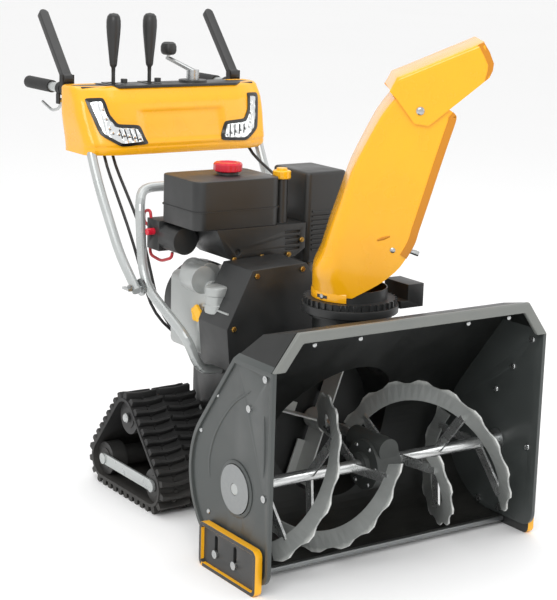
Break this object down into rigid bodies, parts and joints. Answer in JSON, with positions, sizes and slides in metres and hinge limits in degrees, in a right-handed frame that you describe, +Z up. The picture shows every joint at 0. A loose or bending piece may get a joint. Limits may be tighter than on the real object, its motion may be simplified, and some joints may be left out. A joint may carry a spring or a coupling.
{
  "type": "snow blower",
  "caption": "Walk-behind two-stage snow blower on rubber tracks, with a wide auger housing, turning discharge chute, engine and handlebar console.",
  "frame": {"origin": "on the ground, under the middle of the bounding box", "axes": "+X to the right seen from the front, +Y from the auger housing towards the handles, +Z up"},
  "size_m": [0.796, 1.448, 1.169],
  "materials": {
    "dark_housing_paint": "satin black powder coat",
    "grey_side_plate": "satin dark grey powder coat",
    "rail_grey": "satin mid grey powder coat",
    "bare_steel": "bare steel",
    "black_plastic": "moulded black plastic, fine grain",
    "cast_gearbox": "cast iron, painted dark",
    "black_frame_paint": "black powder coat",
    "cast_aluminium": "die-cast aluminium",
    "muffler_steel": "heat-dulled steel",
    "red_lead": "red insulation",
    "silver_tube": "silver-grey powder-coated steel tube",
    "yellow_plastic": "glossy moulded yellow plastic",
    "headlight": "clear lens over bright reflector",
    "rubber_grip": "matt rubber",
    "track_rubber": "moulded rubber",
    "cable_black": "black cable outer",
    "zinc_bolt": "zinc-plated steel",
    "skid_plastic": "black skid shoe with yellow rim",
    "zinc_shaft": "bright zinc-plated tube",
    "auger_paint": "grey painted steel",
    "bronze": "bronze",
    "lever_plastic": "soft-touch black plastic",
    "wheel_plastic": "black moulded wheel",
    "red_cap": "red moulded plastic",
    "yellow_cap": "yellow moulded plastic"
  },
  "bodies": {
    "chassis": {"housing_shell": "dark_housing_paint", "side_plate_left": "grey_side_plate", "side_plate_right": "grey_side_plate", "front_rail": "rail_grey", "scraper_bar": "bare_steel", "impeller_drum": "dark_housing_paint", "chute_base_ring": "black_plastic", "auger_gearbox": "cast_gearbox", "bearings": "bare_steel", "tractor_frame": "black_frame_paint", "belt_cover": "black_plastic", "engine_block": "cast_aluminium", "engine_shroud": "black_plastic", "fuel_tank": "black_plastic", "heater_box": "black_plastic", "muffler": "muffler_steel", "recoil_starter": "black_plastic", "electric_starter": "black_plastic", "starter_leads": "red_lead", "frame_loop": "silver_tube", "handle_tubes": "silver_tube", "console_cover": "yellow_plastic", "console_panel": "black_plastic", "headlights": "headlight", "grips": "rubber_grip", "track_frames": "silver_tube", "track_belts": "track_rubber", "control_cables": "cable_black", "fasteners": "zinc_bolt", "drive_belt": "track_rubber"},
    "skid_left": {"skid_left": "skid_plastic"},
    "skid_right": {"skid_right": "skid_plastic"},
    "auger": {"auger_shaft": "zinc_shaft", "auger_flights": "auger_paint", "worm_wheel": "bronze"},
    "impeller": {"impeller_fan": "auger_paint", "impeller_shaft": "bare_steel", "impeller_pulley": "bare_steel"},
    "engine_pulley": {"engine_pulley": "bare_steel"},
    "chute": {"chute_ring": "black_plastic", "chute_tube": "yellow_plastic"},
    "deflector": {"deflector": "yellow_plastic"},
    "crank": {"crank": "zinc_bolt"},
    "crank_knob": {"crank_knob": "black_plastic"},
    "speed_lever": {"speed_lever": "lever_plastic"},
    "deflector_lever": {"deflector_lever": "lever_plastic"},
    "clutch_lever_left": {"clutch_lever_left": "lever_plastic"},
    "clutch_lever_right": {"clutch_lever_right": "lever_plastic"},
    "trigger_left": {"trigger_left": "zinc_bolt"},
    "trigger_right": {"trigger_right": "zinc_bolt"},
    "sprocket_left": {"sprocket_left": "wheel_plastic"},
    "sprocket_right": {"sprocket_right": "wheel_plastic"},
    "idler_front_left": {"idler_front_left": "wheel_plastic"},
    "idler_rear_left": {"idler_rear_left": "wheel_plastic"},
    "idler_front_right": {"idler_front_right": "wheel_plastic"},
    "idler_rear_right": {"idler_rear_right": "wheel_plastic"},
    "fuel_cap": {"fuel_cap": "red_cap"},
    "oil_cap": {"oil_cap": "yellow_cap"},
    "starter_button": {"starter_button": "red_cap"},
    "recoil_handle": {"recoil_handle": "black_plastic"}
  },
  "joints": [
    {"name": "skid_left_height", "type": "slide", "parent": "chassis", "child": "skid_left", "axis": [0, 0, -1], "range_m": [0, 0.035]},
    {"name": "skid_right_height", "type": "slide", "parent": "chassis", "child": "skid_right", "axis": [0, 0, -1], "range_m": [0, 0.035]},
    {"name": "auger_spin", "type": "hinge", "parent": "chassis", "child": "auger", "pos_m": [0, -0.548, 0.207], "axis": [1, 0, 0], "continuous": true},
    {"name": "impeller_spin", "type": "hinge", "parent": "chassis", "child": "impeller", "pos_m": [0, -0.291, 0.25], "axis": [0, 1, 0], "continuous": true},
    {"name": "engine_pulley_spin", "type": "hinge", "parent": "chassis", "child": "engine_pulley", "pos_m": [-0.075, -0.086, 0.472], "axis": [0, 1, 0], "continuous": true},
    {"name": "chute_turn", "type": "hinge", "parent": "chassis", "child": "chute", "pos_m": [0.036, -0.383, 0.54], "axis": [0, 0, 1], "range_deg": [-151, 39]},
    {"name": "chute_crank", "type": "hinge", "parent": "chassis", "child": "crank", "pos_m": [0.085, 0.429, 0.985], "axis": [0, 0, 1], "range_deg": [-1208, 312]},
    {"name": "crank_knob_spin", "type": "hinge", "parent": "crank", "child": "crank_knob", "pos_m": [0.046, 0.493, 1.06], "axis": [0, 0, 1], "continuous": true},
    {"name": "deflector_tilt", "type": "hinge", "parent": "chute", "child": "deflector", "pos_m": [0.14792, -0.45849, 1.008], "axis": [0.5592, 0.829, 0], "range_deg": [-5, 50]},
    {"name": "deflector_lever_tilt", "type": "hinge", "parent": "chassis", "child": "deflector_lever", "pos_m": [-0.044, 0.438, 0.953], "axis": [1, 0, 0], "range_deg": [-2.4, 22]},
    {"name": "speed_lever_tilt", "type": "hinge", "parent": "chassis", "child": "speed_lever", "pos_m": [-0.152, 0.438, 0.953], "axis": [1, 0, 0], "range_deg": [-20, 20]},
    {"name": "clutch_left_press", "type": "hinge", "parent": "chassis", "child": "clutch_lever_left", "pos_m": [-0.257, 0.498, 0.996], "axis": [-1, 0, 0], "range_deg": [0, 40], "stiffness_Nm_per_rad": 0.6, "springref_deg": -68.75},
    {"name": "clutch_right_press", "type": "hinge", "parent": "chassis", "child": "clutch_lever_right", "pos_m": [0.257, 0.498, 0.996], "axis": [-1, 0, 0], "range_deg": [0, 40], "stiffness_Nm_per_rad": 0.6, "springref_deg": -68.75},
    {"name": "trigger_left_pull", "type": "hinge", "parent": "chassis", "child": "trigger_left", "pos_m": [-0.257, 0.524, 0.936], "axis": [1, 0, 0], "range_deg": [0, 10], "stiffness_Nm_per_rad": 0.2, "springref_deg": -34.38},
    {"name": "trigger_right_pull", "type": "hinge", "parent": "chassis", "child": "trigger_right", "pos_m": [0.257, 0.524, 0.936], "axis": [1, 0, 0], "range_deg": [0, 10], "stiffness_Nm_per_rad": 0.2, "springref_deg": -34.38},
    {"name": "sprocket_left_spin", "type": "hinge", "parent": "chassis", "child": "sprocket_left", "pos_m": [-0.242, 0.034, 0.205], "axis": [1, 0, 0], "continuous": true},
    {"name": "idler_front_left_spin", "type": "hinge", "parent": "chassis", "child": "idler_front_left", "pos_m": [-0.242, -0.094, 0.066], "axis": [1, 0, 0], "continuous": true},
    {"name": "idler_rear_left_spin", "type": "hinge", "parent": "chassis", "child": "idler_rear_left", "pos_m": [-0.242, 0.152, 0.066], "axis": [1, 0, 0], "continuous": true},
    {"name": "sprocket_right_spin", "type": "hinge", "parent": "chassis", "child": "sprocket_right", "pos_m": [0.242, 0.034, 0.205], "axis": [1, 0, 0], "continuous": true},
    {"name": "idler_front_right_spin", "type": "hinge", "parent": "chassis", "child": "idler_front_right", "pos_m": [0.242, -0.094, 0.066], "axis": [1, 0, 0], "continuous": true},
    {"name": "idler_rear_right_spin", "type": "hinge", "parent": "chassis", "child": "idler_rear_right", "pos_m": [0.242, 0.152, 0.066], "axis": [1, 0, 0], "continuous": true},
    {"name": "fuel_cap_turn", "type": "hinge", "parent": "chassis", "child": "fuel_cap", "pos_m": [-0.062, 0.009, 0.81], "axis": [0, 0, 1], "range_deg": [0, 90]},
    {"name": "oil_cap_turn", "type": "hinge", "parent": "chassis", "child": "oil_cap", "pos_m": [0.062, -0.046, 0.8], "axis": [0, 0, 1], "range_deg": [0, 90]},
    {"name": "starter_button_push", "type": "slide", "parent": "chassis", "child": "starter_button", "axis": [1, 0, 0], "range_m": [0, 0.005], "stiffness_N_per_m": 600, "springref_m": -0.004},
    {"name": "recoil_handle_pull", "type": "slide", "parent": "chassis", "child": "recoil_handle", "axis": [0, 1, 0], "range_m": [0, 0.03]}
  ],
  "couplings": [
    {"joint": "impeller_spin", "follows": "auger_spin", "ratio": -10},
    {"joint": "chute_crank", "follows": "chute_turn", "ratio": 8},
    {"joint": "deflector_lever_tilt", "follows": "deflector_tilt", "ratio": 0.44},
    {"joint": "idler_front_left_spin", "follows": "sprocket_left_spin", "ratio": 1},
    {"joint": "idler_rear_left_spin", "follows": "sprocket_left_spin", "ratio": 1},
    {"joint": "idler_front_right_spin", "follows": "sprocket_right_spin", "ratio": 1},
    {"joint": "idler_rear_right_spin", "follows": "sprocket_right_spin", "ratio": 1}
  ]
}
